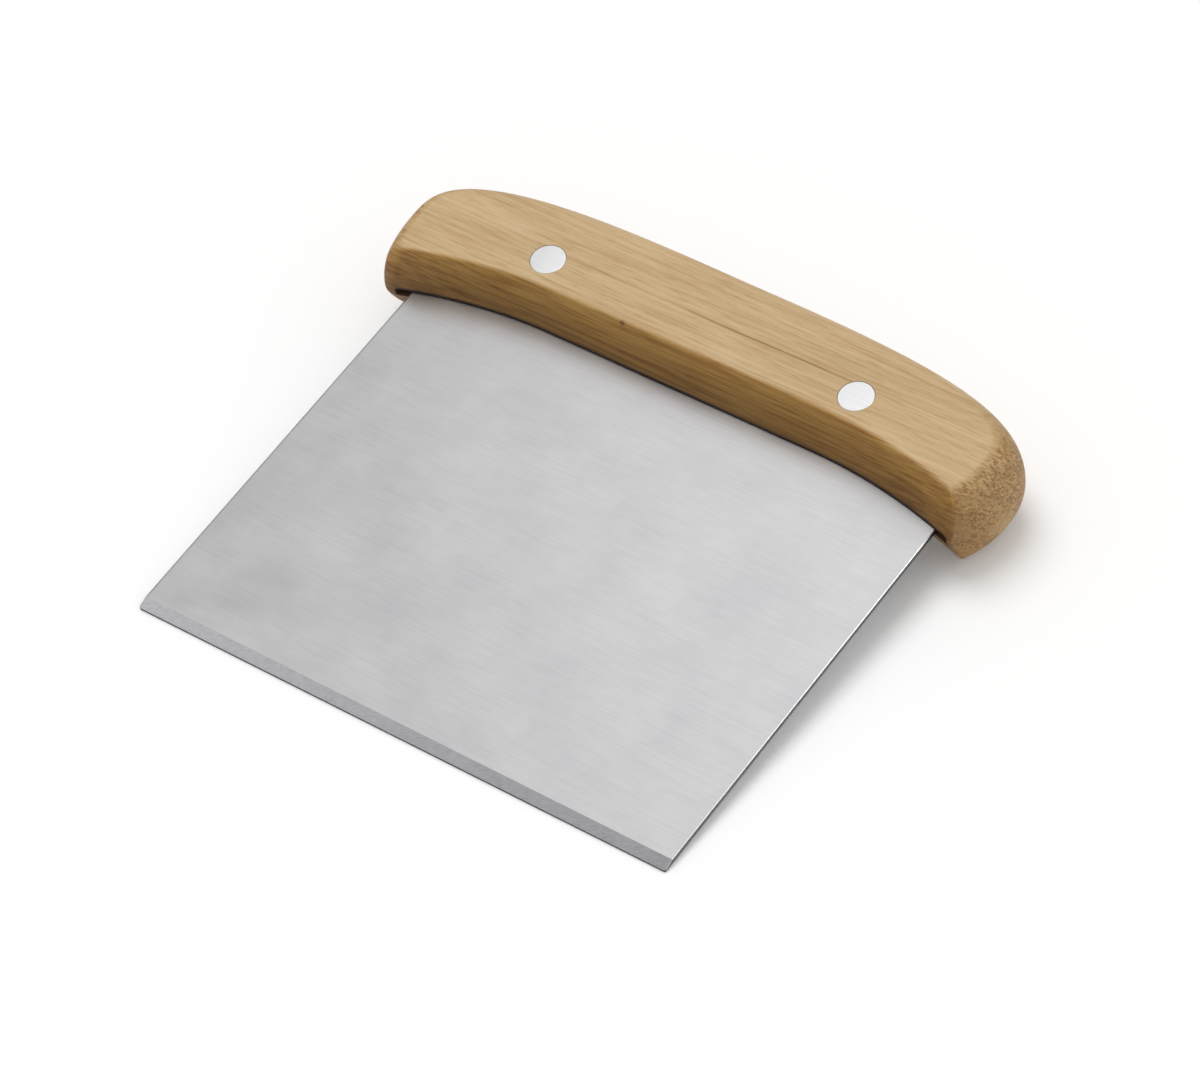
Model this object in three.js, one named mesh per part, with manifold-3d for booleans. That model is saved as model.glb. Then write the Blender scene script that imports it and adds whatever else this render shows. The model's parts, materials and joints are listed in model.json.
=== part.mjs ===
// A dough scraper: a stainless blade held in the sawn slot of a rounded wooden handle by two
// two-part cutlery rivets. It lies on a table on its front edge and the handle's underside.
// Millimetres, +Z up. The pieces are built flat first: X along the blade's width, Y from the
// front edge to the handle, Z square to the blade, with the blade's middle plane at Z = 0.
import * as THREE from "three";
import { mergeVertices } from "three/addons/utils/BufferGeometryUtils.js";
import Module from "manifold-3d";

// Blade
const BLADE_WIDTH = 120.8;
const BLADE_THICKNESS = 1.2;
const BLADE_REACH = 89.3; // front edge to the handle's nose, at mid width
const TANG_DEPTH = 15.5; // blade hidden in the handle, at mid width
const BEVEL_DEPTH = 2.3; // ground on the upper face alone
const EDGE_LAND = 0.5; // square edge left below the bevel
const CORNER_RADIUS = 1; // eased front corners

// Handle
const HANDLE_OVERHANG = 8.7; // past the blade on each side
const HANDLE_DEPTH = 25.8; // nose to back, at mid width
const HANDLE_THICKNESS = 20;
const NOSE_SETBACK = 3.8; // from the nose line back to the crisp upper and lower front edges
const WIDEST_SETBACK = 7.7; // from the nose line back to where the handle is longest
const ROUNDING_DEPTH = 5.5; // of the half-ellipse section round the back and ends
const BEND_LENGTH = 39; // stretch of the nose line at each end that bends forward
const BEND_RADIUS = 108;
const FLANK_RADIUS = 18; // how the ends curve in towards the front corners
const END_EXPONENT = 3.3; // the plan of the back is a superellipse with these two exponents
const BACK_EXPONENT = 2.8;

// Slot and rivets
const CLEARANCE = 0.3; // gap between fitted pieces
const SLOT_END_GAP = 3; // open slot beside the blade at each end
const RIVET_SPACING = 70.8;
const RIVET_SETBACK = 9.3; // from the nose line to the rivets
const HEAD_DIAMETER = 7;
const HEAD_THICKNESS = 2.2;
const POST_DIAMETER = 2.6;
const SLEEVE_WALL = 0.7;

// Facets of the curved surfaces
const SECTION_STEPS = 12;
const BACK_STEPS = 32;
const FLANK_STEPS = 5;
const FRONT_STEPS = 24;
const ROUND_SEGMENTS = 32;
const CORNER_PASSES = 30; // repeats that settle where a flank meets the front line

// Sizes that follow from the ones above
const BLADE_LENGTH = BLADE_REACH + TANG_DEPTH;
const HANDLE_LENGTH = BLADE_WIDTH + 2 * HANDLE_OVERHANG;
const HALF_THICKNESS = HANDLE_THICKNESS / 2;
const WIDEST_Y = BLADE_REACH + WIDEST_SETBACK;
const RIVET_Y = BLADE_REACH + RIVET_SETBACK;
const HEAD_SEAT = HALF_THICKNESS - HEAD_THICKNESS; // height of the heads' inner faces
const BORE_RADIUS = POST_DIAMETER / 2 + CLEARANCE;
const SLEEVE_RADIUS = BORE_RADIUS + SLEEVE_WALL;
const RIVET_HOLE_RADIUS = SLEEVE_RADIUS + CLEARANCE;
const COUNTERBORE_RADIUS = HEAD_DIAMETER / 2 + CLEARANCE;
const CUT_MARGIN = HEAD_THICKNESS; // how far a cutter runs past the face it cuts

const wasm = await Module();
wasm.setup();

// A closed three.js geometry as a solid for joining and cutting
function toSolid(geometry) {
  const bare = geometry.clone();
  bare.deleteAttribute("normal");
  bare.deleteAttribute("uv");
  const merged = mergeVertices(bare);
  return new wasm.Manifold(new wasm.Mesh({
    numProp: 3,
    vertProperties: new Float32Array(merged.attributes.position.array),
    triVerts: new Uint32Array(merged.index.array),
  }));
}

function toGeometry(solid) {
  const mesh = solid.getMesh();
  const geometry = new THREE.BufferGeometry();
  geometry.setAttribute("position", new THREE.BufferAttribute(mesh.vertProperties, 3));
  geometry.setIndex(new THREE.BufferAttribute(mesh.triVerts, 1));
  geometry.computeVertexNormals();
  return geometry;
}

// A solid of revolution about Z from [radius, height] pairs
function turned(profile) {
  const points = profile.map(([radius, height]) => new THREE.Vector2(radius, height));
  return new THREE.LatheGeometry(points, ROUND_SEGMENTS).rotateX(Math.PI / 2);
}

// The handle's foremost line in plan: straight in the middle, bending forward at both ends
function noseLine(x) {
  const run = Math.max(0, Math.abs(x) - (HANDLE_LENGTH / 2 - BEND_LENGTH));
  return BLADE_REACH - run ** 2 / (2 * BEND_RADIUS);
}

// One level of the handle as a closed outline, counter-clockwise seen from above. The angle
// runs up the half-ellipse section of the back and ends, from -90 to 90 degrees.
function handleLevel(angle) {
  const height = HALF_THICKNESS * Math.sin(angle);
  const inset = ROUNDING_DEPTH * (1 - Math.cos(angle));
  const halfLength = HANDLE_LENGTH / 2 - inset;
  const backDepth = HANDLE_DEPTH - WIDEST_SETBACK - inset;
  const setback = NOSE_SETBACK * Math.abs(Math.sin(angle));
  const frontY = (x) => noseLine(x) + setback;
  const flankX = (y) => halfLength - (WIDEST_Y - y) ** 2 / (2 * FLANK_RADIUS);

  // The front corner lies on both the flank and the front line
  let cornerY = frontY(halfLength);
  for (let pass = 0; pass < CORNER_PASSES; pass++) {
    cornerY = frontY(flankX(cornerY));
  }
  const cornerX = flankX(cornerY);

  const right = [];
  for (let step = 0; step < FLANK_STEPS; step++) {
    const y = THREE.MathUtils.lerp(cornerY, WIDEST_Y, step / FLANK_STEPS);
    right.push([flankX(y), y]);
  }
  const back = [];
  for (let step = 0; step <= BACK_STEPS; step++) {
    const share = Math.cos(Math.PI * step / BACK_STEPS);
    const rise = Math.max(0, 1 - Math.abs(share) ** END_EXPONENT) ** (1 / BACK_EXPONENT);
    back.push([halfLength * share, WIDEST_Y + backDepth * rise]);
  }
  const left = right.map(([x, y]) => [-x, y]).reverse();
  const front = [];
  for (let step = 1; step < FRONT_STEPS; step++) {
    const x = THREE.MathUtils.lerp(-cornerX, cornerX, step / FRONT_STEPS);
    front.push([x, frontY(x)]);
  }
  return [...right, ...back, ...left, ...front].map(([x, y]) => new THREE.Vector3(x, y, height));
}

// The handle before it is sawn and drilled: its levels skinned into one closed body
function handleBlank() {
  const levels = [];
  for (let step = 0; step <= SECTION_STEPS; step++) {
    levels.push(handleLevel(Math.PI * (step / SECTION_STEPS - 0.5)));
  }
  const count = levels[0].length;
  const indices = [];
  for (let level = 0; level < SECTION_STEPS; level++) {
    for (let point = 0; point < count; point++) {
      const here = level * count + point;
      const next = level * count + (point + 1) % count;
      indices.push(here, next, next + count);
      indices.push(here, next + count, here + count);
    }
  }
  const lid = (level) => THREE.ShapeUtils.triangulateShape(
    level.map((corner) => new THREE.Vector2(corner.x, corner.y)), []);
  for (const [a, b, c] of lid(levels[0])) {
    indices.push(a, c, b);
  }
  const top = SECTION_STEPS * count;
  for (const [a, b, c] of lid(levels[SECTION_STEPS])) {
    indices.push(top + a, top + b, top + c);
  }
  const geometry = new THREE.BufferGeometry().setFromPoints(levels.flat());
  geometry.setIndex(indices);
  return geometry;
}

// Through hole for a rivet, with a counterbore for the head at each end
function rivetHole() {
  const shelf = HEAD_SEAT - CLEARANCE;
  const end = HALF_THICKNESS + CUT_MARGIN;
  return turned([
    [0, -end],
    [COUNTERBORE_RADIUS, -end],
    [COUNTERBORE_RADIUS, -shelf],
    [RIVET_HOLE_RADIUS, -shelf],
    [RIVET_HOLE_RADIUS, shelf],
    [COUNTERBORE_RADIUS, shelf],
    [COUNTERBORE_RADIUS, end],
    [0, end],
  ]);
}

// The handle: sawn for the blade from the front, then drilled for the rivets
function handleGeometry() {
  const slotLength = BLADE_LENGTH + CLEARANCE;
  const slot = new THREE.BoxGeometry(
    BLADE_WIDTH + 2 * SLOT_END_GAP, slotLength, BLADE_THICKNESS + 2 * CLEARANCE);
  slot.translate(0, slotLength / 2, 0);
  let solid = toSolid(handleBlank()).subtract(toSolid(slot));
  for (const side of [-1, 1]) {
    const hole = rivetHole().translate(side * RIVET_SPACING / 2, RIVET_Y, 0);
    solid = solid.subtract(toSolid(hole));
  }
  return toGeometry(solid);
}

// The blade: a bevelled section run along its width, with eased front corners and rivet holes
function bladeGeometry() {
  const low = -BLADE_THICKNESS / 2;
  const high = BLADE_THICKNESS / 2;
  const section = new THREE.Shape();
  section.moveTo(0, low);
  section.lineTo(BLADE_LENGTH, low);
  section.lineTo(BLADE_LENGTH, high);
  section.lineTo(BEVEL_DEPTH, high);
  section.lineTo(0, low + EDGE_LAND);
  const sheet = new THREE.ExtrudeGeometry(section, { depth: BLADE_WIDTH, bevelEnabled: false });
  sheet.applyMatrix4(new THREE.Matrix4().makeBasis(
    new THREE.Vector3(0, 1, 0), new THREE.Vector3(0, 0, 1), new THREE.Vector3(1, 0, 0)));
  sheet.translate(-BLADE_WIDTH / 2, 0, 0);

  const half = BLADE_WIDTH / 2;
  const past = BLADE_LENGTH + CUT_MARGIN;
  const plan = new THREE.Shape();
  plan.moveTo(-half, past);
  plan.lineTo(-half, CORNER_RADIUS);
  plan.absarc(-half + CORNER_RADIUS, CORNER_RADIUS, CORNER_RADIUS, Math.PI, 1.5 * Math.PI);
  plan.absarc(half - CORNER_RADIUS, CORNER_RADIUS, CORNER_RADIUS, 1.5 * Math.PI, 2 * Math.PI);
  plan.lineTo(half, past);
  const easing = new THREE.ExtrudeGeometry(
    plan, { depth: 2 * BLADE_THICKNESS, bevelEnabled: false, curveSegments: ROUND_SEGMENTS / 4 });
  easing.translate(0, 0, -BLADE_THICKNESS);

  let solid = toSolid(sheet).intersect(toSolid(easing));
  for (const side of [-1, 1]) {
    const hole = new THREE.CylinderGeometry(
      RIVET_HOLE_RADIUS, RIVET_HOLE_RADIUS, 2 * BLADE_THICKNESS, ROUND_SEGMENTS);
    hole.rotateX(Math.PI / 2).translate(side * RIVET_SPACING / 2, RIVET_Y, 0);
    solid = solid.subtract(toSolid(hole));
  }
  return toGeometry(solid);
}

// Post half of a rivet: the upper head, flush with the handle's top, and a solid post
function rivetPost() {
  return turned([
    [0, -HEAD_SEAT + CLEARANCE],
    [POST_DIAMETER / 2, -HEAD_SEAT + CLEARANCE],
    [POST_DIAMETER / 2, HEAD_SEAT],
    [HEAD_DIAMETER / 2, HEAD_SEAT],
    [HEAD_DIAMETER / 2, HALF_THICKNESS],
    [0, HALF_THICKNESS],
  ]);
}

// Sleeve half of a rivet: the lower head and a tube that takes the post
function rivetSleeve() {
  return turned([
    [0, -HALF_THICKNESS],
    [HEAD_DIAMETER / 2, -HALF_THICKNESS],
    [HEAD_DIAMETER / 2, -HEAD_SEAT],
    [SLEEVE_RADIUS, -HEAD_SEAT],
    [SLEEVE_RADIUS, HEAD_SEAT - CLEARANCE],
    [BORE_RADIUS, HEAD_SEAT - CLEARANCE],
    [BORE_RADIUS, -HEAD_SEAT],
    [0, -HEAD_SEAT],
  ]);
}

function piece(name, geometry, color, roughness, metalness) {
  const material = new THREE.MeshStandardMaterial({ color, roughness, metalness });
  const mesh = new THREE.Mesh(geometry, material);
  mesh.name = name;
  return mesh;
}

const steel = (name, geometry) => piece(name, geometry, 0xc6c7c9, 0.42, 1);
const wood = (name, geometry) => piece(name, geometry, 0xbca580, 0.6, 0);
const aluminium = (name, geometry) => piece(name, geometry, 0xe6e7ea, 0.35, 1);

const scraper = new THREE.Group();
const handle = wood("handle", handleGeometry());
scraper.add(steel("blade", bladeGeometry()), handle);
for (const [word, side] of [["left", -1], ["right", 1]]) {
  const post = aluminium(`rivet_${word}_post`, rivetPost());
  const sleeve = aluminium(`rivet_${word}_sleeve`, rivetSleeve());
  for (const half of [post, sleeve]) {
    half.position.set(side * RIVET_SPACING / 2, RIVET_Y, 0);
    scraper.add(half);
  }
}

// Lying down, the blade tilts until the handle's lowest corners meet the table that the front
// edge already touches: the steepest line from that edge to any point of the handle.
const corners = handle.geometry.attributes.position;
let restTilt = 0;
for (let index = 0; index < corners.count; index++) {
  const below = -BLADE_THICKNESS / 2 - corners.getZ(index);
  restTilt = Math.max(restTilt, Math.atan2(below, corners.getY(index)));
}
scraper.rotation.x = restTilt;

// The origin is under the middle of the lying tool, on the table
const doughScraper = new THREE.Group();
doughScraper.add(scraper);
doughScraper.updateMatrixWorld(true);
const box = new THREE.Box3().setFromObject(doughScraper, true);
scraper.position.set(0, -(box.min.y + box.max.y) / 2, -box.min.z);

export default doughScraper;
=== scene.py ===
# A dough scraper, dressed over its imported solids: the blade, the handle and the two rivets are
# rebuilt as fine surfaces with the finish of brushed steel, oiled wood and sanded aluminium.
# Shapes are worked out in millimetres with the tool flat: X along the blade's width, Y from the
# front edge to the handle, Z square to the blade with 0 at its middle plane. LAID then turns
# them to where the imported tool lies, in metres.
import json
import math

import bmesh
import bpy
import numpy as np
from mathutils import Matrix, Vector


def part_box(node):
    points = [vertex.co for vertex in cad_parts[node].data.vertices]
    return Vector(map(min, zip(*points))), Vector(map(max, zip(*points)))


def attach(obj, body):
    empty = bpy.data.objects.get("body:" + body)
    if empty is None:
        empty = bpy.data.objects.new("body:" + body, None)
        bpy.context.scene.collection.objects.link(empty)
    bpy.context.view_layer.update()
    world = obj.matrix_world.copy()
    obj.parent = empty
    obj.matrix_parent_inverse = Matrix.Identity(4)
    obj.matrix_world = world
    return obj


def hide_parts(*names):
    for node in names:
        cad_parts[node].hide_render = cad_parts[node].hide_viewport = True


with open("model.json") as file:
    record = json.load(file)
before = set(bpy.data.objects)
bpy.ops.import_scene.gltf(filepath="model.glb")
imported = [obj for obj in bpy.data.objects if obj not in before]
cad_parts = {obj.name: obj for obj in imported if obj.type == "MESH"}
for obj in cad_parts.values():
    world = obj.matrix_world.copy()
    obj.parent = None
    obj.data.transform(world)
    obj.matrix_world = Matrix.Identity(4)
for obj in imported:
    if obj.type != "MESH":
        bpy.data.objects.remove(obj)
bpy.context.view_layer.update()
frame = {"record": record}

MM = 0.001


def packed_size(node):
    """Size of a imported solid's box in millimetres."""
    low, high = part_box(node)
    return (high - low) / MM


# Blade, in millimetres
BLADE_WIDTH = packed_size("blade").x
BLADE_THICKNESS = 1.2
BLADE_REACH = 89.3  # front edge to the handle's nose, at mid width
TANG_DEPTH = 15.5  # hidden in the handle, at mid width
BLADE_LENGTH = BLADE_REACH + TANG_DEPTH
BEVEL_DEPTH = 2.3  # ground on the upper face alone
EDGE_LAND = 0.5  # square edge left below the bevel
FRONT_CORNER = 0.5  # radius of the eased front corners
BACK_CORNER = 0.8
RIM_EASE = 0.25  # radius of the sheet's worn rims
LAND_EASE = 0.05  # radius of the rims of the front land, which are crisp
RIM_BAND = 0.2  # flat band beside the rim that keeps the faces flat in their shading

# Handle, in millimetres
HANDLE_LENGTH = packed_size("handle").x
HANDLE_DEPTH = 25.7  # nose to back, at mid width
HALF_THICKNESS = 9.96  # a hair less than the solid's, so that its facets hold the finer surface
NOSE_SETBACK = 3.7  # from the nose line back to the upper and lower front edges
WIDEST_SETBACK = 7.7  # from the nose line back to where the handle is longest
WIDEST_Y = BLADE_REACH + WIDEST_SETBACK
ROUNDING_DEPTH = 5.5  # of the half-ellipse section round the back and ends
BEND_LENGTH = 39.0  # stretch of the nose line at each end that bends forward
BEND_RADIUS = 108.0
LEFT_FLANK_RADIUS = 34.0  # how the ends curve in towards the front corners; shaped by hand,
RIGHT_FLANK_RADIUS = 17.0  # so that the left corner is the fuller one
SETBACK_SLANT = 0.16  # share by which the upper setback grows to the right, and the lower to the left
BACK_SLANT = 0.025  # share by which the back is fuller at the left end
END_EXPONENT = 3.3  # the plan of the back is a superellipse with these two exponents
BACK_EXPONENT = 2.8
NOSE_EASE = 0.8  # half height over which the nose is rounded off
FRONT_EASE = 1.1  # radius on the front edges of the two flat faces
LEFT_CORNER_EASE = 2.8  # reach of the easing on the front corners, the left one sanded rounder
RIGHT_CORNER_EASE = 0.6
CORNER_PASSES = 30  # repeats that settle where a flank meets the front line

# Slot and rivets, in millimetres
CLEARANCE = 0.3
SLOT_END_GAP = 3.3  # open slot beside the blade at each end
SLOT_HALF_WIDTH = BLADE_WIDTH / 2 + SLOT_END_GAP
SLOT_HALF_HEIGHT = BLADE_THICKNESS / 2 + CLEARANCE
SLOT_Y = BLADE_LENGTH + CLEARANCE
RIVET_SETBACK = 9.3  # from the nose line to the rivets
RIVET_X = sum(corner.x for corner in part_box("rivet_right_post")) / 2 / MM
RIVET_Y = BLADE_REACH + RIVET_SETBACK
HEAD_RADIUS = packed_size("rivet_left_post").x / 2
HEAD_THICKNESS = 2.2
HEAD_SEAT = HALF_THICKNESS - HEAD_THICKNESS  # height of the heads' inner faces
HEAD_GAP = 0.03  # hairline between a head and the wood
HEAD_EASE = 0.15  # radius of a head's rim
HEAD_CROWN = 0.06  # how far a head's middle stands proud of the wood
POST_RADIUS = 1.3
SLEEVE_WALL = 0.7
BORE_RADIUS = POST_RADIUS + CLEARANCE
SLEEVE_RADIUS = BORE_RADIUS + SLEEVE_WALL
RIVET_HOLE_RADIUS = SLEEVE_RADIUS + CLEARANCE

# Steps of the curved surfaces
SECTION_STEPS = 44
SLOT_STEPS = 5
FLANK_STEPS = 18
BACK_STEPS = 260
CORNER_STEPS = 18
SLOT_END_STEPS = 6
FRONT_STEPS = 150
RIM_STEPS = 9
ARC_STEPS = 12
ROUND_STEPS = 96
SHARP_ANGLE = math.radians(13)  # a larger turn between two faces is a real edge
WELD = 1e-4

# How faces are told apart, by shares of their normals
RIM_RISE = 0.4  # a face of the blade that looks up or down less than this is its rim
BEVEL_RISE = (0.5, 0.999)  # the bevel looks up by a share between these
NOSE_TURN = 0.5  # a face of the slot that looks forward more than this is the nose, not a wall
SLOT_MARGIN = 1.0  # how far past the slot's ends its walls are looked for, in millimetres

# Where the tool lies: tilted as its flat upper face is, with the blade's front edge on the floor
TOP_AXIS = Vector(next(m["axis"] for m in frame["record"]["mounts"] if m["name"] == "handle_top"))
REST_TILT = math.atan2(-TOP_AXIS.y, TOP_AXIS.z)
LAND_TOP = EDGE_LAND - BLADE_THICKNESS / 2
LAID_SHIFT = Vector((
    0,
    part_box("blade")[0].y / MM + LAND_TOP * math.sin(REST_TILT),
    BLADE_THICKNESS / 2 * math.cos(REST_TILT),
))
LAID = Matrix.Scale(MM, 4) @ Matrix.Translation(LAID_SHIFT) @ Matrix.Rotation(REST_TILT, 4, "X")
FLAT_FROM_LAID = LAID.inverted()


# Surfaces


def grid_quads(rows, columns, ring=False):
    """Quads of a grid of points numbered row by row, as rows by columns by 4; a ring's last
    column meets its first."""
    row = np.arange(rows - 1)[:, None] * columns
    here = np.arange(columns if ring else columns - 1)[None, :]
    beside = (here + 1) % columns
    return np.stack([row + here, row + beside, row + columns + beside, row + columns + here], -1)


def patch(x, y, z, ring=False):
    """A patch from three arrays that broadcast to one grid: its points and its quads."""
    grid = np.stack(np.broadcast_arrays(x, y, z), -1)
    return grid.reshape(-1, 3), grid_quads(*grid.shape[:2], ring).reshape(-1, 4)


def turned(profile, x=0.0, y=0.0):
    """Pairs of radius and height carried round an upright axis at x, y."""
    radius, height = np.array(profile).T[:, :, None]
    angle = np.linspace(0, 2 * math.pi, ROUND_STEPS, endpoint=False)
    return patch(x + radius * np.cos(angle), y + radius * np.sin(angle), height, ring=True)


def quarter(radius, steps):
    """A quarter circle as two arrays: how far it still is from each of its two tangent lines."""
    angle = np.linspace(0, math.pi / 2, steps)
    return radius * (1 - np.sin(angle)), radius * (1 - np.cos(angle))


def fill_flat(bm, height):
    """Fills the open rims that lie at one height with flat triangles, leaving their holes."""
    rims = [
        edge for edge in bm.edges
        if edge.is_boundary and all(abs(vert.co.z - height) < WELD for vert in edge.verts)
    ]
    bmesh.ops.triangle_fill(bm, use_beauty=True, edges=rims)


def build_piece(name, patches, flats, materials, sort=None):
    """Welds patches into one closed skin, fills its flat faces, sorts its materials and lays it."""
    starts = np.cumsum([0] + [len(points) for points, faces in patches])
    points = np.concatenate([points for points, faces in patches])
    faces = [
        face for start, (_, quads) in zip(starts, patches)
        for face in (np.asarray(quads) + start).tolist()
    ]
    mesh = bpy.data.meshes.new(name)
    mesh.from_pydata(points, [], faces)
    bm = bmesh.new()
    bm.from_mesh(mesh)
    bmesh.ops.remove_doubles(bm, verts=bm.verts, dist=WELD)
    for height in flats:
        fill_flat(bm, height)
    bmesh.ops.recalc_face_normals(bm, faces=bm.faces)
    bm.to_mesh(mesh)
    bm.free()
    for material in materials:
        mesh.materials.append(material)
    if sort:
        count = len(mesh.polygons)
        normals = np.empty(count * 3)
        centres = np.empty(count * 3)
        mesh.polygons.foreach_get("normal", normals)
        mesh.polygons.foreach_get("center", centres)
        order = sort(centres.reshape(-1, 3), normals.reshape(-1, 3))
        mesh.polygons.foreach_set("material_index", order.astype(np.int32))
    mesh.transform(LAID)
    mesh.shade_smooth()
    mesh.set_sharp_from_angle(angle=SHARP_ANGLE)
    piece = bpy.data.objects.new(name, mesh)
    bpy.context.scene.collection.objects.link(piece)
    return piece


# Handle


def nose_line(x):
    """The handle's foremost line in plan: straight in the middle, and a parabola that bends
    forward along the last stretch at each end."""
    run = np.maximum(0, np.abs(x) - (HANDLE_LENGTH / 2 - BEND_LENGTH))
    return BLADE_REACH - run**2 / (2 * BEND_RADIUS)


def front_setback(height):
    """How far the front leans back at a height: by a hyperbola that rounds the nose and runs
    straight above it, and near the flat face by an arc that is tangent to the lean and to the
    flat."""
    height = np.abs(height)
    lean = math.atan2(HALF_THICKNESS, NOSE_SETBACK)
    reach = FRONT_EASE * math.tan(lean / 2)
    above = height - (HALF_THICKNESS - FRONT_EASE)
    arc = NOSE_SETBACK + reach - np.sqrt(np.maximum(0, FRONT_EASE**2 - above**2))
    full_rise = math.hypot(HALF_THICKNESS, NOSE_EASE) - NOSE_EASE
    straight = NOSE_SETBACK * (np.hypot(height, NOSE_EASE) - NOSE_EASE) / full_rise
    return np.where(height > HALF_THICKNESS - reach * math.sin(lean), arc, straight)


def front_line(x, height):
    """The front face in plan at a height: the nose line and the setback, which grows from left to
    right above the blade, and below it from the middle to the left."""
    share = x / (HANDLE_LENGTH / 2)
    slant = 1 + SETBACK_SLANT * np.where(height > 0, share, np.maximum(0, -share))
    return nose_line(x) + front_setback(height) * slant


def handle_end(side, flank_radius, corner_ease, half_length, height):
    """One end of the outline at each level: a parabola from the widest place in to the front
    corner, and a quadratic blend round the corner, which repeats of the two meeting lines find."""
    def flank_line(y):
        return side * (half_length - (WIDEST_Y - y) ** 2 / (2 * flank_radius))

    corner_y = front_line(side * half_length, height)
    for _ in range(CORNER_PASSES):
        corner_y = front_line(flank_line(corner_y), height)
    corner_x = flank_line(corner_y)

    flank_start = corner_y + corner_ease
    flank_y = flank_start + (WIDEST_Y - flank_start) * np.linspace(0, 1, FLANK_STEPS + 1)[:-1]
    flank_x = flank_line(flank_y)
    front_x = corner_x - side * corner_ease
    blend = np.linspace(0, 1, CORNER_STEPS + 2)[1:]
    start, corner, end = (1 - blend) ** 2, 2 * blend * (1 - blend), blend**2
    return {
        "flank_x": flank_x,
        "flank_y": flank_y,
        "ease_x": start * flank_x[:, :1] + corner * corner_x + end * front_x,
        "ease_y": start * flank_y[:, :1] + corner * corner_y + end * front_line(front_x, height),
    }


def handle_patches():
    """The handle's skin is a grid of levels by points round the outline. A level's angle runs up
    a half-ellipse section, which sets its height and its inset. Its outline is a superellipse
    round the back, a flank and an eased corner at each end, and the front line. The slot and the
    rivet holes open from it."""
    slot_angle = math.asin(SLOT_HALF_HEIGHT / HALF_THICKNESS)
    upper = np.linspace(slot_angle, math.pi / 2, SECTION_STEPS)
    middle = np.linspace(-slot_angle, slot_angle, SLOT_STEPS)
    angle = np.concatenate([-upper[::-1], middle[1:-1], upper])[:, None]
    low_row = SECTION_STEPS - 1
    high_row = low_row + SLOT_STEPS - 1

    height = HALF_THICKNESS * np.sin(angle)
    inset = ROUNDING_DEPTH * (1 - np.cos(angle))
    half_length = HANDLE_LENGTH / 2 - inset
    back_depth = BLADE_REACH + HANDLE_DEPTH - WIDEST_Y - inset
    right = handle_end(1, RIGHT_FLANK_RADIUS, RIGHT_CORNER_EASE, half_length, height)
    left = handle_end(-1, LEFT_FLANK_RADIUS, LEFT_CORNER_EASE, half_length, height)

    share = np.cos(np.linspace(0, math.pi, BACK_STEPS + 1))
    rise = np.maximum(0, 1 - np.abs(share) ** END_EXPONENT) ** (1 / BACK_EXPONENT)
    back_y = WIDEST_Y + back_depth * rise * (1 + BACK_SLANT * np.maximum(0, -share))

    left_end = left["ease_x"][:, -1:]
    right_end = right["ease_x"][:, -1:]
    left_stop = left_end * -SLOT_HALF_WIDTH / left_end[high_row]
    right_stop = right_end * SLOT_HALF_WIDTH / right_end[high_row]
    along = np.linspace(0, 1, SLOT_END_STEPS + 1)
    middle_share = np.linspace(0, 1, FRONT_STEPS)
    front_x = np.hstack([
        left_end + (left_stop - left_end) * along[1:-1],
        left_stop + (right_stop - left_stop) * middle_share,
        right_stop + (right_end - right_stop) * along[1:-1],
    ])

    x = np.hstack([right["flank_x"], half_length * share, left["flank_x"][:, ::-1],
                   left["ease_x"], front_x, right["ease_x"][:, ::-1]])
    y = np.hstack([right["flank_y"], back_y, left["flank_y"][:, ::-1],
                   left["ease_y"], front_line(front_x, height), right["ease_y"][:, ::-1]])
    points, _ = patch(x, y, height, ring=True)
    quads = grid_quads(*x.shape, ring=True)

    first = 2 * FLANK_STEPS + BACK_STEPS + 1 + CORNER_STEPS + 1 + SLOT_END_STEPS - 1
    last = first + FRONT_STEPS - 1
    solid = np.ones(quads.shape[:2], bool)
    solid[low_row:high_row, first:last] = False
    patches = [(points, quads[solid])]

    slot_rows = slice(low_row, high_row + 1)
    wall_x = x[high_row, first:last + 1]
    patches.append(patch(wall_x, SLOT_Y, height[slot_rows]))
    for column, wall in ((first, wall_x[0]), (last, wall_x[-1])):
        side_x = np.stack([x[slot_rows, column], np.full(SLOT_STEPS, wall)], -1)
        side_y = np.stack([y[slot_rows, column], np.full(SLOT_STEPS, SLOT_Y)], -1)
        patches.append(patch(side_x, side_y, height[slot_rows]))

    shelf = HEAD_SEAT - CLEARANCE
    for side in (-1, 1):
        for up in (-1, 1):
            patches.append(turned([
                (HEAD_RADIUS + 2 * HEAD_GAP, up * HALF_THICKNESS),
                (HEAD_RADIUS + HEAD_GAP, up * (HALF_THICKNESS - HEAD_GAP)),
                (HEAD_RADIUS + HEAD_GAP, up * shelf),
                (RIVET_HOLE_RADIUS, up * shelf),
                (RIVET_HOLE_RADIUS, up * SLOT_HALF_HEIGHT),
            ], side * RIVET_X, RIVET_Y))
    return patches


def handle_finish(centres, normals):
    """Which finish each face of the handle has: 0 sanded, 1 the slot's sawn walls, painted dark as
    shade.
    """
    x, y, z = np.abs(centres.T)
    level = (z < SLOT_HALF_HEIGHT + WELD) & (x < SLOT_HALF_WIDTH + SLOT_MARGIN)
    end_wall = np.abs(y - SLOT_Y) < WELD
    side_walls = (y < SLOT_Y) & (normals[:, 1] > -NOSE_TURN)
    return np.where(level & (end_wall | side_walls), 1, 0)


# Blade


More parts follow.
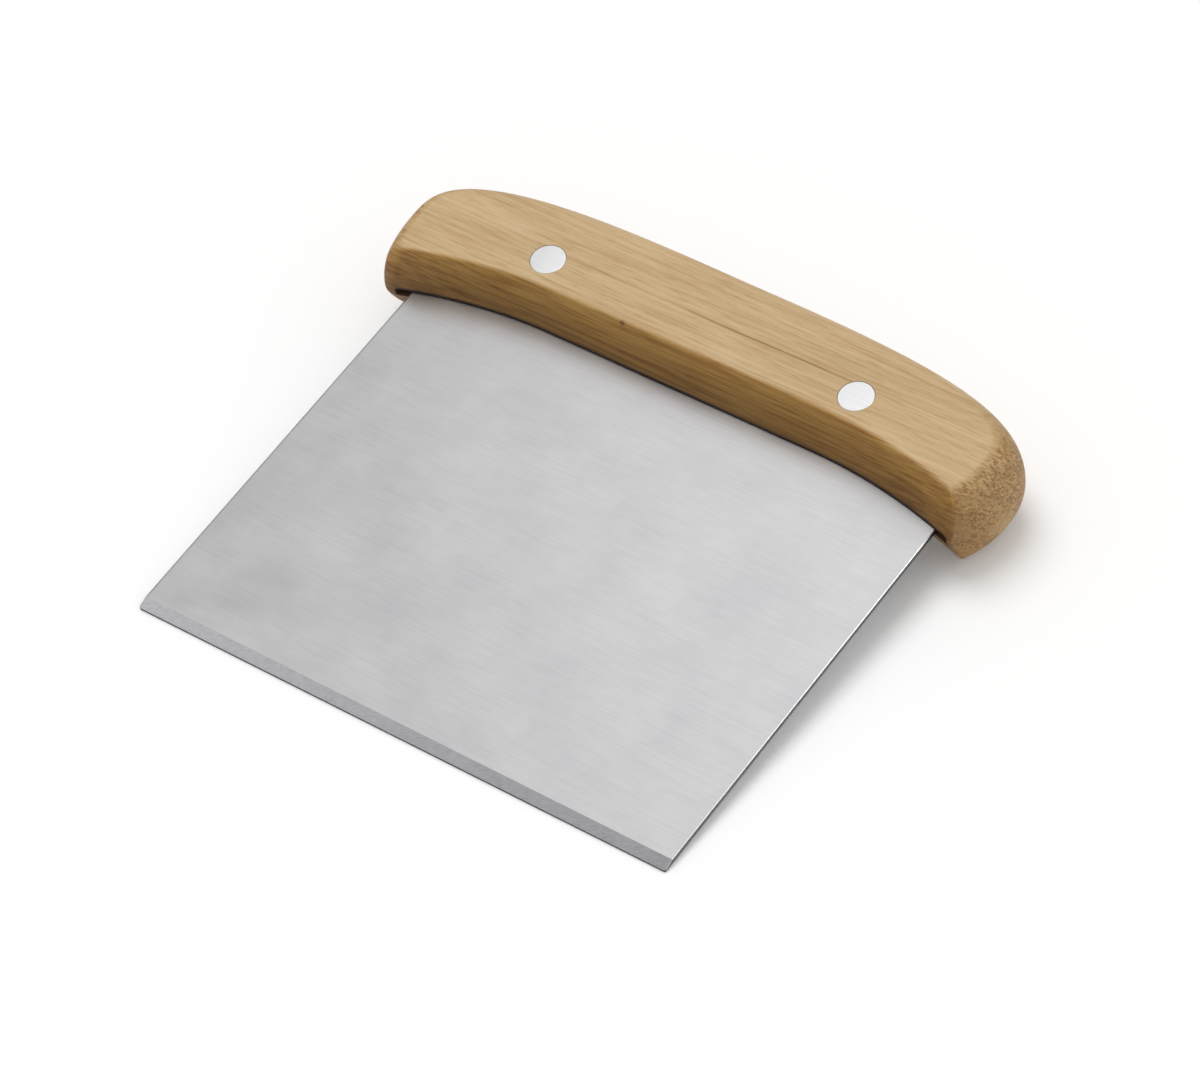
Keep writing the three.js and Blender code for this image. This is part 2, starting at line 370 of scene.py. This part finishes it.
def blade_outline():
    """The sheet's plan from the left end of the bevel line round the front: straight sides joined
    by round corners, as points, outward directions and the count up to the bevel's right end."""
    half = BLADE_WIDTH / 2
    turn = np.linspace(0, math.pi / 2, ARC_STEPS)

    def corner(x, y, radius, start):
        out = np.stack([np.cos(start + turn), np.sin(start + turn)], -1)
        return np.array([x, y]) + radius * out, out

    left = np.array([[-half, BEVEL_DEPTH]]), np.array([[-1.0, 0.0]])
    right = np.array([[half, BEVEL_DEPTH]]), np.array([[1.0, 0.0]])
    front_x = half - FRONT_CORNER
    back_x = half - BACK_CORNER
    back_y = BLADE_LENGTH - BACK_CORNER
    runs = [
        left,
        corner(-front_x, FRONT_CORNER, FRONT_CORNER, math.pi),
        corner(front_x, FRONT_CORNER, FRONT_CORNER, 1.5 * math.pi),
        right,
        corner(back_x, back_y, BACK_CORNER, 0),
        corner(-back_x, back_y, BACK_CORNER, 0.5 * math.pi),
    ]
    points, outward = (np.concatenate(column) for column in zip(*runs))
    return points, outward, 2 + 2 * ARC_STEPS


def blade_top(y):
    """Height of the upper face: flat, and falling straight to the land along the front bevel."""
    fall = (BLADE_THICKNESS - EDGE_LAND) * np.maximum(0, 1 - y / BEVEL_DEPTH)
    return BLADE_THICKNESS / 2 - fall


def blade_patches():
    """The sheet's rim is its plan carried through insets and heights: out round the lower rim and
    in round the upper one, which follows the upper face. The bevel is one flat face."""
    points, outward, bevel_count = blade_outline()
    ease = RIM_EASE + (LAND_EASE - RIM_EASE) * np.maximum(0, -outward[:, 1])
    inset_up, lift = (share[:, None] * ease for share in quarter(1, RIM_STEPS))
    band = (ease + RIM_BAND)[None, :]
    inset = np.concatenate([band, inset_up, inset_up[::-1], band])
    rise = np.concatenate([np.zeros_like(band), lift])
    x = points[:, 0] - inset * outward[:, 0]
    y = points[:, 1] - inset * outward[:, 1]
    lower = -BLADE_THICKNESS / 2 + rise
    upper = blade_top(y[RIM_STEPS + 1:]) - rise[::-1]
    z = np.concatenate([np.broadcast_to(lower, upper.shape), upper])
    rim = patch(x, y, z, ring=True)
    top_ring = (2 * RIM_STEPS + 1) * len(points)
    bevel = rim[0][top_ring:top_ring + bevel_count], [list(range(bevel_count))]
    patches = [rim, bevel]
    half = BLADE_THICKNESS / 2
    for side in (-1, 1):
        hole = [(RIVET_HOLE_RADIUS, -half), (RIVET_HOLE_RADIUS, half)]
        patches.append(turned(hole, side * RIVET_X, RIVET_Y))
    return patches


def blade_finish(centres, normals):
    """Which finish each face of the blade has: 0 brushed, 1 ground, which is the bevel, and the band
    along the left rim as a painted dark reflection, 2 sheared rim, in part painted shade, 3 front
    land, painted shade."""
    rise = normals[:, 2]
    steepest, flattest = BEVEL_RISE
    bevel = (centres[:, 1] < BEVEL_DEPTH) & (rise > steepest) & (rise < flattest)
    # the band along the left rim takes the darker ground finish as a painted dark reflection
    left_band = centres[:, 0] < RIM_EASE + RIM_BAND - BLADE_WIDTH / 2 - WELD
    rim = np.abs(rise) < RIM_RISE
    land = rim & (centres[:, 1] < FRONT_CORNER / 2)
    return np.select([land, rim, bevel | left_band], [3, 2, 1], 0)


# Rivets


def head_profile(up):
    """Half section of a head from its seat to its middle: a straight side, a rim eased by a
    quarter circle and a low crown that falls with the square of the radius."""
    from_side, from_top = quarter(HEAD_EASE, RIM_STEPS)
    rim_radius = HEAD_RADIUS - from_top
    rim_height = HALF_THICKNESS - from_side
    radius = np.linspace(HEAD_RADIUS - HEAD_EASE, 0, ARC_STEPS)[1:]
    crown = HALF_THICKNESS + HEAD_CROWN * (1 - (radius / (HEAD_RADIUS - HEAD_EASE)) ** 2)
    pairs = zip(np.concatenate([rim_radius, radius]), np.concatenate([rim_height, crown]))
    return [(HEAD_RADIUS, up * HEAD_SEAT)] + [(r, up * z) for r, z in pairs]


def post_patches(x):
    """Upper half of a rivet: a solid post that widens to the head."""
    foot = -HEAD_SEAT + CLEARANCE
    shank = [(0, foot), (POST_RADIUS, foot), (POST_RADIUS, HEAD_SEAT)]
    return [turned(shank + head_profile(1), x, RIVET_Y)]


def sleeve_patches(x):
    """Lower half of a rivet: a tube, open at the top, that widens to the head."""
    mouth = HEAD_SEAT - CLEARANCE
    tube = [(0, -HEAD_SEAT), (BORE_RADIUS, -HEAD_SEAT), (BORE_RADIUS, mouth),
            (SLEEVE_RADIUS, mouth), (SLEEVE_RADIUS, -HEAD_SEAT)]
    return [turned(tube + head_profile(-1), x, RIVET_Y)]


# Materials

FACTOR, COLOUR_A, COLOUR_B, COLOUR_OUT = 0, 6, 7, 2  # sockets of a Mix node that mixes colours
NOISE_SPAN = (0.3, 0.7)  # levels between which nearly all of a noise lies


def linear(hex_colour):
    """An sRGB hex colour as linear red, green, blue and alpha."""
    channels = [int(hex_colour[i:i + 2], 16) / 255 for i in (0, 2, 4)]
    return [c / 12.92 if c <= 0.04045 else ((c + 0.055) / 1.055) ** 2.4 for c in channels] + [1]


def add_node(tree, kind, inputs=None, **settings):
    """Adds a node with its settings; an input that is a socket is linked, any other is set."""
    node = tree.nodes.new(kind)
    for name, value in settings.items():
        setattr(node, name, value)
    for key, value in (inputs or {}).items():
        if isinstance(value, bpy.types.NodeSocket):
            tree.links.new(value, node.inputs[key])
        else:
            node.inputs[key].default_value = value
    return node


def new_material(name):
    """An empty node material with its output, and the flat tool's millimetres as coordinates."""
    material = bpy.data.materials.new(name)
    material.use_nodes = True
    tree = material.node_tree
    tree.nodes.clear()
    output = add_node(tree, "ShaderNodeOutputMaterial")
    place = add_node(tree, "ShaderNodeTexCoord")
    flat = add_node(tree, "ShaderNodeMapping", {
        "Vector": place.outputs["Object"],
        "Location": FLAT_FROM_LAID.to_translation(),
        "Rotation": (-REST_TILT, 0, 0),
        "Scale": (1 / MM,) * 3,
    })
    return material, tree, output, flat.outputs["Vector"]


# Growth rings of the handle's board, in millimetres and radians
RING_SLOPE = math.radians(35)  # how the rings lean across the board's section
RING_SPACING = 5.45
CLEAR_LINE_Y = 101.0  # where the clearest growth line runs on the upper face
CLEAR_LINE_X = 15.0  # middle of the stretch where it is clear
CLEAR_LINE_HALF = 19.0  # half the length of that stretch
CLEAR_LINE_FADE = 6.0
FAINT_LINE = 0.3  # strength of the other growth lines beside the clear one
RING_LINE_SHARE = 0.045  # half width of a growth line, as a share of the spacing
RING_WANDER = 1.1  # how far a growth line strays from straight
FLECK_PLACE = (-13.8, 92.4, 9.7)  # a dark fleck in the wood, on the upper front edge
FLECK_RADIUS = 0.9
SAW_RIB = 0.4  # width of a saw's rib in the slot
SAW_STROKE = 8.0  # length of a rib
RIB_DEPTH = 0.1
PORE_DEPTH = 0.05
LIP_SHADE_HEIGHT = 0.6  # height of the painted shade on the slot's lips
LIP_FADE = 1.0  # stretch over which that painted shade fades at the slot's ends
BLADE_SHADE_HEIGHT = 9.0  # height above the blade's middle up to which painted shade darkens the front

# Shares of the wood's normal between which a look sets in
END_GRAIN_TURN = (0.15, 0.6)  # along the handle, either way
GROWTH_LINE_TURN = (0.5, 0.15)  # along the handle, as the end grain goes
FRONT_TURN = (0.3, 0.9)  # towards the front
BACK_TURN = (-0.1, -0.6)  # away from the front

OILED_ROUGHNESS = (0.5, 0.64)  # between the streaks and in them
SAWN_ROUGHNESS = 0.85
WOOD_IOR = 1.5


def oiled_rubberwood():
    """Rubberwood, sawn plain, sanded and oiled: straw brown, with broken streaks and fine pores
    along the handle, thin growth lines, and a mottle of cut fibres on the ends, which soak up
    more oil. The faces towards the front are a warmer brown, darkened in part with painted shade.
    Painted shade also darkens the front towards the blade, most on the slot's lips, and the
    back's roll a little."""
    material, tree, output, flat = new_material("oiled_rubberwood")
    # Coordinates with X along the fibres, Y across the growth rings and Z along them
    grain = add_node(tree, "ShaderNodeMapping", {"Vector": flat, "Rotation": (-RING_SLOPE, 0, 0)})

    # Soft patterns: length along the fibres and widths across and along the rings, in millimetres,
    # then detail, and the two levels of the noise between which the pattern sets in
    noise = {}
    pattern = {}
    for name, length, across, along, detail, low, high in (
        ("tone", 36, 2.4, 6.0, 3, 0.3, 0.7),
        ("streaks", 20, 0.55, 1.6, 4, 0.42, 0.68),
        ("pores", 5.0, 0.26, 0.7, 2, 0.52, 0.68),
        ("wander", 60, 12.0, 30.0, 1, 0.0, 1.0),
        ("breaks", 28, 4.0, 12.0, 2, 0.35, 0.55),
        ("mottle", 2.0, 0.42, 0.65, 3, 0.45, 0.58),
    ):
        scaled = add_node(tree, "ShaderNodeMapping", {
            "Vector": grain.outputs[0], "Scale": (1 / length, 1 / across, 1 / along)})
        noise[name] = add_node(tree, "ShaderNodeTexNoise", {
            "Vector": scaled.outputs[0], "Scale": 1.0, "Detail": detail, "Roughness": 0.6})
        pattern[name] = add_node(tree, "ShaderNodeMapRange", {
            0: noise[name].outputs[0], 1: low, 2: high})

    # Where the surface cuts the fibres, and where it faces the front or the back
    surface = add_node(tree, "ShaderNodeNewGeometry")
    lengthways = add_node(tree, "ShaderNodeVectorMath", {
        0: surface.outputs["Normal"], 1: (1, 0, 0)}, operation="DOT_PRODUCT")
    cut_across = add_node(tree, "ShaderNodeMath", {
        0: lengthways.outputs["Value"]}, operation="ABSOLUTE")
    frontwards = add_node(tree, "ShaderNodeVectorMath", {
        0: surface.outputs["Normal"], 1: (0, -1, 0)}, operation="DOT_PRODUCT")
    end_grain, along_grain, front, back_roll = (
        add_node(tree, "ShaderNodeMapRange", {0: turn, 1: start, 2: full})
        for turn, (start, full) in (
            (cut_across.outputs[0], END_GRAIN_TURN),
            (cut_across.outputs[0], GROWTH_LINE_TURN),
            (frontwards.outputs["Value"], FRONT_TURN),
            (frontwards.outputs["Value"], BACK_TURN),
        )
    )

    # Growth lines: a thin line at each ring, clear on one of them, broken along its length and
    # lost in the end grain
    across_rings = add_node(tree, "ShaderNodeSeparateXYZ", {0: grain.outputs[0]})
    clear_line = CLEAR_LINE_Y * math.cos(RING_SLOPE) + HALF_THICKNESS * math.sin(RING_SLOPE)
    ring_start = clear_line + RING_WANDER / 2
    strayed = add_node(tree, "ShaderNodeMath", {
        0: pattern["wander"].outputs[0], 1: RING_WANDER, 2: across_rings.outputs["Y"]},
        operation="MULTIPLY_ADD")
    turns = add_node(tree, "ShaderNodeMapRange", {
        0: strayed.outputs[0], 1: ring_start, 2: ring_start + RING_SPACING}, clamp=False)
    from_line = add_node(tree, "ShaderNodeMath", {
        0: turns.outputs[0], 1: 0.5}, operation="PINGPONG")
    line = add_node(tree, "ShaderNodeMapRange", {
        0: from_line.outputs[0], 1: RING_LINE_SHARE, 2: 0.0})
    clear_ring = add_node(tree, "ShaderNodeMath", {
        0: turns.outputs[0], 1: 0.0, 2: 0.5}, operation="COMPARE")
    along_line = add_node(tree, "ShaderNodeMath", {
        0: across_rings.outputs["X"], 1: CLEAR_LINE_X}, operation="SUBTRACT")
    from_middle = add_node(tree, "ShaderNodeMath", {0: along_line.outputs[0]}, operation="ABSOLUTE")
    clear_stretch = add_node(tree, "ShaderNodeMapRange", {
        0: from_middle.outputs[0], 1: CLEAR_LINE_HALF + CLEAR_LINE_FADE, 2: CLEAR_LINE_HALF,
        3: 0.0, 4: 1 - FAINT_LINE})
    strength = add_node(tree, "ShaderNodeMath", {
        0: clear_ring.outputs[0], 1: clear_stretch.outputs[0], 2: FAINT_LINE}, operation="MULTIPLY_ADD")
    growth_line = line
    for amount in (strength, pattern["breaks"], along_grain):
        growth_line = add_node(tree, "ShaderNodeMath", {
            0: growth_line.outputs[0], 1: amount.outputs[0]}, operation="MULTIPLY")

    # Painted shade on the front: darker towards the blade, and darkest on the slot's lips
    level = add_node(tree, "ShaderNodeSeparateXYZ", {0: flat})
    from_blade = add_node(tree, "ShaderNodeMath", {0: level.outputs["Z"]}, operation="ABSOLUTE")
    from_centre = add_node(tree, "ShaderNodeMath", {0: level.outputs["X"]}, operation="ABSOLUTE")
    near_blade = add_node(tree, "ShaderNodeMapRange", {
        0: from_blade.outputs[0], 1: BLADE_SHADE_HEIGHT, 2: SLOT_HALF_HEIGHT})
    near_slot = add_node(tree, "ShaderNodeMapRange", {
        0: from_blade.outputs[0], 1: SLOT_HALF_HEIGHT + LIP_SHADE_HEIGHT, 2: SLOT_HALF_HEIGHT + LIP_SHADE_HEIGHT / 3})
    beside_slot = add_node(tree, "ShaderNodeMapRange", {
        0: from_centre.outputs[0], 1: SLOT_HALF_WIDTH, 2: SLOT_HALF_WIDTH - LIP_FADE})
    blade_painted_shade = add_node(tree, "ShaderNodeMath", {
        0: near_blade.outputs[0], 1: front.outputs[0]}, operation="MULTIPLY")
    lips = add_node(tree, "ShaderNodeMath", {
        0: near_slot.outputs[0], 1: beside_slot.outputs[0]}, operation="MULTIPLY")
    slot_painted_shade = add_node(tree, "ShaderNodeMath", {
        0: lips.outputs[0], 1: front.outputs[0]}, operation="MULTIPLY")

    # Streaks that show more on the front, the ends' mottle, in patches, and the fleck
    front_streaks = add_node(tree, "ShaderNodeMath", {
        0: pattern["streaks"].outputs[0], 1: front.outputs[0]}, operation="MULTIPLY")
    end_mottle = pattern["mottle"]
    for amount in (end_grain, pattern["breaks"]):
        end_mottle = add_node(tree, "ShaderNodeMath", {
            0: end_mottle.outputs[0], 1: amount.outputs[0]}, operation="MULTIPLY")
    from_fleck = add_node(tree, "ShaderNodeVectorMath", {
        0: flat, 1: FLECK_PLACE}, operation="DISTANCE")
    fleck = add_node(tree, "ShaderNodeMapRange", {
        0: from_fleck.outputs["Value"], 1: FLECK_RADIUS, 2: FLECK_RADIUS / 4})

    # The body's two tones, and the tints that each look lays over them
    body = add_node(tree, "ShaderNodeMix", {
        FACTOR: pattern["tone"].outputs[0],
        COLOUR_A: linear("bca177"), COLOUR_B: linear("cbb087")}, data_type="RGBA")
    colour = body.outputs[COLOUR_OUT]
    for amount, tint in (
        (pattern["streaks"], "f0e9dd"),
        (pattern["pores"], "f0eadf"),
        (growth_line, "bfa98a"),
        # the front's warmer brown, darkened in part as painted shade
        (front, "ead08b"),
        (front_streaks, "d6c6a8"),
        # painted shade: the front darker towards the blade
        (blade_painted_shade, "b8b3ac"),
        # painted shade: the slot's lips darker still, along the gap
        (slot_painted_shade, "5e4e3e"),
        # painted shade: the back's roll a touch darker
        (back_roll, "f6f2ea"),
        (end_grain, "eee3c6"),
        (end_mottle, "ccb793"),
        (fleck, "7a5c3e"),
    ):
        layer = add_node(tree, "ShaderNodeMix", {
            FACTOR: amount.outputs[0], COLOUR_A: colour, COLOUR_B: linear(tint)},
            data_type="RGBA", blend_type="MULTIPLY")
        colour = layer.outputs[COLOUR_OUT]

    low, high = NOISE_SPAN
    smooth, rough = OILED_ROUGHNESS
    roughness = add_node(tree, "ShaderNodeMapRange", {
        0: noise["streaks"].outputs[0], 1: low, 2: high, 3: smooth, 4: rough})
    hollows = add_node(tree, "ShaderNodeMath", {
        0: 1.0, 1: pattern["pores"].outputs[0]}, operation="SUBTRACT")
    relief = add_node(tree, "ShaderNodeBump", {
        "Height": hollows.outputs[0], "Strength": 0.35, "Distance": PORE_DEPTH * MM})
    shader = add_node(tree, "ShaderNodeBsdfPrincipled", {
        "Base Color": colour, "Roughness": roughness.outputs[0], "IOR": WOOD_IOR,
        "Normal": relief.outputs[0]})
    tree.links.new(shader.outputs[0], output.inputs[0])
    return material


def sawn_rubberwood_painted_shade():
    """The slot's walls as the saw left them: ribs square to the fibres, in dark browns that are painted
    shade of the narrow slot.
    """
    material, tree, output, flat = new_material("sawn_rubberwood_painted_shade")
    ribs_scale = add_node(tree, "ShaderNodeMapping", {
        "Vector": flat, "Scale": (1 / SAW_RIB, 1 / SAW_STROKE, 1 / SAW_RIB)})
    ribs = add_node(tree, "ShaderNodeTexNoise", {
        "Vector": ribs_scale.outputs[0], "Scale": 1.0, "Detail": 2, "Roughness": 0.5})
    # painted shade: the walls' dark browns stand in for the slot's shade
    slot_painted_shade = add_node(tree, "ShaderNodeMix", {
        FACTOR: ribs.outputs[0],
        COLOUR_A: linear("40291a"), COLOUR_B: linear("6e4c2e")}, data_type="RGBA")
    relief = add_node(tree, "ShaderNodeBump", {
        "Height": ribs.outputs[0], "Strength": 0.5, "Distance": RIB_DEPTH * MM})
    shader = add_node(tree, "ShaderNodeBsdfPrincipled", {
        "Base Color": slot_painted_shade.outputs[COLOUR_OUT], "Roughness": SAWN_ROUGHNESS,
        "IOR": WOOD_IOR, "Normal": relief.outputs[0]})
    tree.links.new(shader.outputs[0], output.inputs[0])
    return material


# Levels of the metals' noise between which their clouds and marks set in
CLOUD_SPAN = (0.32, 0.68)
MARK_SPAN = (0.4, 0.7)
GLOSS_CHANGE = 0.03  # how much rougher or smoother than the sheet a cloud is


def metal_finish(name, dark, light, roughness, cloud_size, mark_length, mark_width, mark_depth,
                 mark_tint, mark_turn=0.0):
    """A worked metal: clouds of two close greys, and the tool's marks as fine streaks that darken
    the grey and catch the light. Sizes are in millimetres, and the marks' turn is about the
    sheet's normal, from its width."""
    material, tree, output, flat = new_material(name)
    cloud_scale = add_node(tree, "ShaderNodeMapping", {
        "Vector": flat, "Scale": (1 / cloud_size,) * 3})
    cloud = add_node(tree, "ShaderNodeTexNoise", {
        "Vector": cloud_scale.outputs[0], "Scale": 1.0, "Detail": 4, "Roughness": 0.55})
    turned_flat = add_node(tree, "ShaderNodeMapping", {
        "Vector": flat, "Rotation": (0, 0, mark_turn)})
    mark_scale = add_node(tree, "ShaderNodeMapping", {
        "Vector": turned_flat.outputs[0],
        "Scale": (1 / mark_length, 1 / mark_width, 1 / mark_width)})
    streak = add_node(tree, "ShaderNodeTexNoise", {
        "Vector": mark_scale.outputs[0], "Scale": 1.0, "Detail": 3, "Roughness": 0.6})
    low, high = CLOUD_SPAN
    clouded = add_node(tree, "ShaderNodeMapRange", {0: cloud.outputs[0], 1: low, 2: high})
    grey = add_node(tree, "ShaderNodeMix", {
        FACTOR: clouded.outputs[0],
        COLOUR_A: linear(dark), COLOUR_B: linear(light)}, data_type="RGBA")
    low, high = MARK_SPAN
    marked = add_node(tree, "ShaderNodeMapRange", {0: streak.outputs[0], 1: low, 2: high})
    colour = add_node(tree, "ShaderNodeMix", {
        FACTOR: marked.outputs[0],
        COLOUR_A: grey.outputs[COLOUR_OUT], COLOUR_B: linear(mark_tint)},
        data_type="RGBA", blend_type="MULTIPLY")
    low, high = NOISE_SPAN
    gloss = add_node(tree, "ShaderNodeMapRange", {
        0: cloud.outputs[0], 1: low, 2: high,
        3: roughness - GLOSS_CHANGE, 4: roughness + GLOSS_CHANGE})
    relief = add_node(tree, "ShaderNodeBump", {
        "Height": streak.outputs[0], "Strength": 0.3, "Distance": mark_depth * MM})
    shader = add_node(tree, "ShaderNodeBsdfPrincipled", {
        "Base Color": colour.outputs[COLOUR_OUT], "Metallic": 1.0, "Roughness": gloss.outputs[0],
        "Normal": relief.outputs[0]})
    tree.links.new(shader.outputs[0], output.inputs[0])
    return material


def brushed_stainless():
    """Stainless sheet, rolled and brushed fine along its width: a soft grey reflection with faint
    clouds. The brushing is drawn coarser than its real hundredths of a millimetre, so it shows."""
    return metal_finish(
        "brushed_stainless", dark="d1d1d3", light="dededf", roughness=0.34, cloud_size=16.0,
        mark_length=10.0, mark_width=0.5, mark_depth=0.0015, mark_tint="f8f8f8")


def ground_stainless_and_painted_shade():
    """The bevel, ground by a wheel that crossed the edge at a slant and left short strokes. The same
    darker grey on the band along the left rim is a painted dark reflection."""
    return metal_finish(
        "ground_stainless_and_painted_shade", dark="b5b5b8", light="bfbfc2", roughness=0.42, cloud_size=9.0,
        mark_length=3.0, mark_width=0.2, mark_depth=0.008, mark_tint="e4e4e4",
        mark_turn=math.radians(-32))


def sheared_stainless_and_painted_shade():
    """The sheet's rim as the shear left it: upright tearing marks, rough, and dark grey in part as
    painted shade.
    """
    return metal_finish(
        "sheared_stainless_and_painted_shade", dark="6c6c6e", light="7c7c7e", roughness=0.5, cloud_size=4.0,
        mark_length=0.3, mark_width=0.3, mark_depth=0.02, mark_tint="d2d2d2")


def land_stainless_painted_shade():
    """The land below the bevel, left with the wheel's marks and painted dark grey as shade."""
    return metal_finish(
        "land_stainless_painted_shade", dark="36363a", light="424246", roughness=0.5, cloud_size=4.0,
        mark_length=0.3, mark_width=0.3, mark_depth=0.02, mark_tint="d2d2d2")


def sanded_aluminium():
    """Rivet heads sanded flush with the wood, along the grain, so the scratches run that way."""
    return metal_finish(
        "sanded_aluminium", dark="f3f3f5", light="f9f9fa", roughness=0.36, cloud_size=5.0,
        mark_length=4.0, mark_width=0.16, mark_depth=0.006, mark_tint="f4f4f4")


# Pieces

wood = [oiled_rubberwood(), sawn_rubberwood_painted_shade()]
steel = [brushed_stainless(), ground_stainless_and_painted_shade(), sheared_stainless_and_painted_shade(), land_stainless_painted_shade()]
aluminium = sanded_aluminium()

flat_faces = (HALF_THICKNESS, -HALF_THICKNESS, SLOT_HALF_HEIGHT, -SLOT_HALF_HEIGHT)
sheet_faces = (BLADE_THICKNESS / 2, -BLADE_THICKNESS / 2)
pieces = [
    ("handle", "handle_wood",
     build_piece("wood_handle", handle_patches(), flat_faces, wood, handle_finish)),
    ("blade", "blade_steel",
     build_piece("steel_blade", blade_patches(), sheet_faces, steel, blade_finish)),
]
for word, side in (("left", -1), ("right", 1)):
    for part, patches in (("post", post_patches), ("sleeve", sleeve_patches)):
        node = f"rivet_{word}_{part}"
        body = build_piece(f"aluminium_{node}", patches(side * RIVET_X), (), [aluminium])
        pieces.append((node, "rivet_aluminium", body))
for node, slot, body in pieces:
    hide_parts(node)
    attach(body, "root")

# Floor

FLOOR_HALF = 3000.0
FLOOR_DROP = 0.02  # below the resting edge, so that the two surfaces don't fight
FLOOR_BACKLIGHT = 0.1  # share of the floor's white that no shadow dims


def white_floor():
    """Matt white paper that is lit in part from behind for whatever looks at it or mirrors it, so
    that it is white up to the frame's edge and its shadows stay soft."""
    material = bpy.data.materials.new("matt_white_paper")
    material.use_nodes = True
    tree = material.node_tree
    paper = tree.nodes["Principled BSDF"]
    paper.inputs["Base Color"].default_value = linear("fafafa")
    paper.inputs["Roughness"].default_value = 0.9
    path = add_node(tree, "ShaderNodeLightPath")
    seen = path.outputs["Is Camera Ray"]
    for ray in ("Is Glossy Ray", "Is Transmission Ray"):
        either = add_node(tree, "ShaderNodeMath", {0: seen, 1: path.outputs[ray]}, operation="MAXIMUM")
        seen = either.outputs[0]
    share = add_node(tree, "ShaderNodeMath", {0: seen, 1: FLOOR_BACKLIGHT}, operation="MULTIPLY")
    white = add_node(tree, "ShaderNodeEmission", {"Color": linear("ffffff"), "Strength": 1.0})
    lit = add_node(tree, "ShaderNodeMixShader", {
        0: share.outputs[0], 1: paper.outputs[0], 2: white.outputs[0]})
    tree.links.new(lit.outputs[0], tree.nodes["Material Output"].inputs[0])
    return material


corner = np.array([-1.0, 1.0]) * FLOOR_HALF * MM
floor_points, floor_quads = patch(corner[None, :], corner[:, None], -FLOOR_DROP * MM)
floor_mesh = bpy.data.meshes.new("floor")
floor_mesh.from_pydata(floor_points, [], floor_quads.tolist())
floor_mesh.materials.append(white_floor())
floor = bpy.data.objects.new("floor", floor_mesh)
bpy.context.scene.collection.objects.link(floor)

# Light

# A pale room whose walls glow unevenly, a broad soft key from above that only matt surfaces take
# up, and soft boxes that only the metal mirrors
ROOM_LEVEL = 0.3
ROOM_WALLS = (
    # direction, colour and how much it adds to the room's level
    ((0, 1, 0), "ffffff", 0.11),
    ((1, 0, 0), "fffaf2", 0.2),
    ((0, 0, 1), "ffffff", 0.4),
)
KEY_FROM = Vector((-0.30, 0.15, 0.94))
KEY_STRENGTH = 1.42
KEY_SPREAD = math.radians(40)
SOFT_BOXES = (
    # name, centre in millimetres, width and depth in millimetres, power in watts
    ("overhead_box", (-60, 170, 350), 340, 300, 0.128),
    ("left_box", (-240, -120, 210), 160, 180, 0.08),
    ("rim_box", (500, 250, 330), 300, 300, 1.1),
)

world = bpy.data.worlds.new("studio")
bpy.context.scene.world = world
world.use_nodes = True
room = world.node_tree
room.nodes.clear()
direction = add_node(room, "ShaderNodeTexCoord")
room_glow = add_node(room, "ShaderNodeRGB")
room_glow.outputs[0].default_value = (ROOM_LEVEL, ROOM_LEVEL, ROOM_LEVEL, 1)
glow = room_glow.outputs[0]
for wall, colour, added in ROOM_WALLS:
    facing = add_node(room, "ShaderNodeVectorMath", {
        0: direction.outputs["Generated"], 1: wall}, operation="DOT_PRODUCT")
    amount = add_node(room, "ShaderNodeMapRange", {0: facing.outputs["Value"], 4: added})
    layer = add_node(room, "ShaderNodeMix", {
        FACTOR: amount.outputs[0], COLOUR_A: glow, COLOUR_B: linear(colour)},
        data_type="RGBA", blend_type="ADD")
    glow = layer.outputs[COLOUR_OUT]
background = add_node(room, "ShaderNodeBackground", {"Color": glow})
add_node(room, "ShaderNodeOutputWorld", {"Surface": background.outputs[0]})

key_data = bpy.data.lights.new("key", "SUN")
key_data.energy = KEY_STRENGTH
key_data.angle = KEY_SPREAD
key = bpy.data.objects.new("key", key_data)
key.matrix_world = KEY_FROM.to_track_quat("Z", "Y").to_matrix().to_4x4()
key.visible_glossy = False
bpy.context.scene.collection.objects.link(key)

for name, centre, width, depth, power in SOFT_BOXES:
    box_data = bpy.data.lights.new(name, "AREA")
    box_data.shape = "RECTANGLE"
    box_data.size = width * MM
    box_data.size_y = depth * MM
    box_data.energy = power
    box = bpy.data.objects.new(name, box_data)
    place = Vector(centre) * MM
    box.matrix_world = Matrix.Translation(place) @ place.to_track_quat("Z", "Y").to_matrix().to_4x4()
    box.visible_camera = False
    box.visible_diffuse = False
    bpy.context.scene.collection.objects.link(box)

# Camera

# Placed by its direction from a point on the tool, as the photograph was taken
CAMERA_AZIMUTH = math.radians(42.785)
CAMERA_ELEVATION = math.radians(46.277)
CAMERA_ROLL = math.radians(-8.604)
CAMERA_TARGET = Vector((8.290, -4.566, 10.0)) * MM
CAMERA_DISTANCE = 1042.66 * MM
CAMERA_LENS = 171.585  # focal length in millimetres
CAMERA_SENSOR = 36.0  # width in millimetres

back = Vector((
    math.sin(CAMERA_AZIMUTH) * math.cos(CAMERA_ELEVATION),
    -math.cos(CAMERA_AZIMUTH) * math.cos(CAMERA_ELEVATION),
    math.sin(CAMERA_ELEVATION),
))
level = Vector((math.cos(CAMERA_AZIMUTH), math.sin(CAMERA_AZIMUTH), 0))
upright = Matrix((level, back.cross(level), back)).transposed().to_4x4()
camera_data = bpy.data.cameras.new("camera")
camera_data.sensor_width = CAMERA_SENSOR
camera_data.lens = CAMERA_LENS
camera = bpy.data.objects.new("camera", camera_data)
camera.matrix_world = (
    Matrix.Translation(CAMERA_TARGET + back * CAMERA_DISTANCE)
    @ upright @ Matrix.Rotation(CAMERA_ROLL, 4, "Z")
)
bpy.context.scene.collection.objects.link(camera)
bpy.context.scene.camera = camera
bpy.context.scene.view_settings.view_transform = "Standard"
